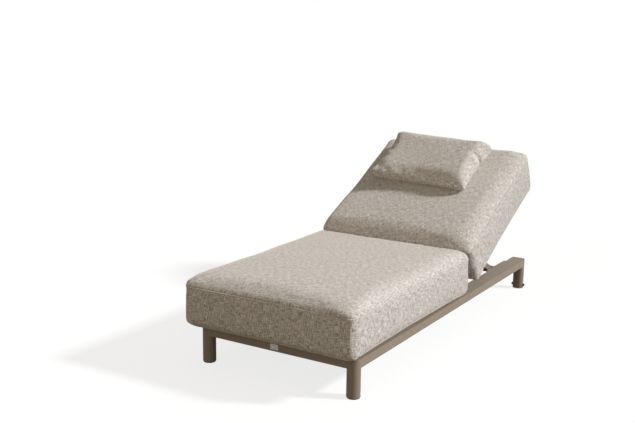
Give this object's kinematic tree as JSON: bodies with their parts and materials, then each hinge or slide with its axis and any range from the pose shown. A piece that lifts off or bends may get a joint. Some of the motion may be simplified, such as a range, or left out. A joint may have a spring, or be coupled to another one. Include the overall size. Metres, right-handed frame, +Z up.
{
  "type": "spa relaxation lounger",
  "caption": "Low metal-framed lounger with an overhanging padded seat, a padded back that reclines on a notched stay, a loose head pillow and wheels hidden in the rear legs.",
  "frame": {"origin": "middle of the underside of the box round the whole lounger, on the floor", "axes": "+Z up, +Y from the foot end to the head end, +X to the left of the person who lies on it"},
  "size_m": [0.87, 2.088, 0.8756],
  "materials": {
    "frame_coat": "fine matt powder coat, warm grey-brown",
    "deck_coat": "fine matt powder coat, darker grey-brown",
    "woven_fabric": "coarse plain weave in mixed grey and beige yarns",
    "bright_steel": "brushed",
    "black_plastic": "fine matt",
    "tyre_rubber": "matt",
    "bare_plate": "satin"
  },
  "bodies": {
    "frame": {"axle_caps_left": "black_plastic", "axle_caps_right": "black_plastic", "cross_member_front": "frame_coat", "cross_member_rear": "frame_coat", "front_glide_left": "black_plastic", "front_glide_right": "black_plastic", "front_leg_left": "frame_coat", "front_leg_right": "frame_coat", "front_rail": "frame_coat", "hinge_bracket_left": "frame_coat", "hinge_bracket_right": "frame_coat", "hinge_pin_left": "bright_steel", "hinge_pin_right": "bright_steel", "name_plate": "bare_plate", "rack_bolts": "bright_steel", "rack_left": "frame_coat", "rack_right": "frame_coat", "rear_leg_left": "frame_coat", "rear_leg_right": "frame_coat", "seat_cushion": "woven_fabric", "seat_ledge_left": "deck_coat", "seat_ledge_right": "deck_coat", "seat_slat_caps": "black_plastic", "seat_slat_screws": "bright_steel", "seat_slats": "deck_coat", "side_rail_left": "frame_coat", "side_rail_right": "frame_coat", "wheel_axle_left": "bright_steel", "wheel_axle_right": "bright_steel", "wheel_spacers_left": "black_plastic", "wheel_spacers_right": "black_plastic"},
    "backrest": {"back_bottom_rail": "frame_coat", "back_ledge_left": "deck_coat", "back_ledge_right": "deck_coat", "back_slat_caps": "black_plastic", "back_slats": "deck_coat", "back_stile_left": "frame_coat", "back_stile_right": "frame_coat", "back_top_rail": "frame_coat", "hinge_bush_left": "black_plastic", "hinge_bush_right": "black_plastic", "hinge_lug_left": "frame_coat", "hinge_lug_right": "frame_coat", "stay_lug_left": "frame_coat", "stay_lug_right": "frame_coat", "stay_pin_left": "bright_steel", "stay_pin_right": "bright_steel"},
    "stay": {"stay_arm_left": "frame_coat", "stay_arm_right": "frame_coat", "stay_bar": "frame_coat", "stay_bar_plug_left": "black_plastic", "stay_bar_plug_right": "black_plastic", "stay_bush_left": "black_plastic", "stay_bush_right": "black_plastic"},
    "back_cushion": {"back_cushion": "woven_fabric"},
    "head_pillow": {"head_pillow": "woven_fabric"},
    "wheel_left": {"wheel_hub_left": "black_plastic", "wheel_tyre_left": "tyre_rubber"},
    "wheel_right": {"wheel_hub_right": "black_plastic", "wheel_tyre_right": "tyre_rubber"}
  },
  "joints": [
    {"name": "back_recline", "type": "hinge", "parent": "frame", "child": "backrest", "pos_m": [0, 0.129, 0.142], "axis": [1, 0, 0], "range_deg": [-26, 19]},
    {"name": "stay_swing", "type": "hinge", "parent": "backrest", "child": "stay", "pos_m": [0, 0.47234, 0.30946], "axis": [1, 0, 0], "range_deg": [-38.01, 52.01]},
    {"name": "back_cushion_slide", "type": "slide", "parent": "backrest", "child": "back_cushion", "axis": [0, 0.8988, 0.4384], "range_m": [-0.10356, 0.07571]},
    {"name": "head_pillow_slide", "type": "slide", "parent": "back_cushion", "child": "head_pillow", "axis": [0, 0.8988, 0.4384], "range_m": [-0.25, 0.02]},
    {"name": "wheel_left_spin", "type": "hinge", "parent": "frame", "child": "wheel_left", "pos_m": [0.375, 1.014, 0.021], "axis": [1, 0, 0], "continuous": true},
    {"name": "wheel_right_spin", "type": "hinge", "parent": "frame", "child": "wheel_right", "pos_m": [-0.375, 1.014, 0.021], "axis": [1, 0, 0], "continuous": true}
  ],
  "couplings": [
    {"joint": "stay_swing", "follows": "back_recline", "ratio": -2},
    {"joint": "back_cushion_slide", "follows": "back_recline", "m_per_rad": 0.228}
  ]
}
